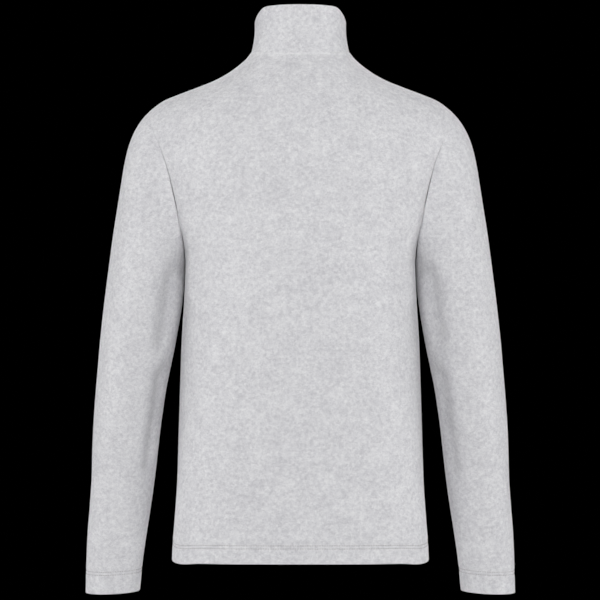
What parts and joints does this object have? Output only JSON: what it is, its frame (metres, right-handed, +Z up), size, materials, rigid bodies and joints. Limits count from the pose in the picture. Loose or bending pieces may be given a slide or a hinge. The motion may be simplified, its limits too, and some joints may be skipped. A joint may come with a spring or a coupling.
{
  "type": "fleece zip jacket",
  "caption": "Long-sleeved fleece jacket with a standing collar and a full-length front zip, kept in its hollow worn shape; only the zip's pull tab turns.",
  "frame": {"origin": "the middle of the neck, level with the ends of the shoulder seams at the neck", "axes": "+Z up along the wearer's spine, -Y the way the front and its zip face, +X towards the wearer's left arm"},
  "size_m": [0.5874, 0.2573, 0.7937],
  "materials": {
    "fleece": "soft brushed knit, light grey melange",
    "zip_tape": "woven tape",
    "zip_teeth": "moulded acetal, satin",
    "zip_metal": "satin enamel"
  },
  "bodies": {
    "jacket": {"back": "fleece", "front_left": "fleece", "front_right": "fleece", "sleeve_left": "fleece", "sleeve_right": "fleece", "collar": "fleece", "zip_tape_left": "zip_tape", "zip_tape_right": "zip_tape", "zip_teeth_left": "zip_teeth", "zip_teeth_right": "zip_teeth", "zip_slider": "zip_metal", "zip_stop_left": "zip_metal", "zip_stop_right": "zip_metal", "zip_box": "zip_metal"},
    "pull_tab": {"zip_pull": "zip_metal"}
  },
  "joints": [
    {"name": "pull_tab_turn", "type": "hinge", "parent": "jacket", "child": "pull_tab", "pos_m": [0, -0.06929, -0.00278], "axis": [-1, 0, 0], "range_deg": [0, 165]}
  ]
}
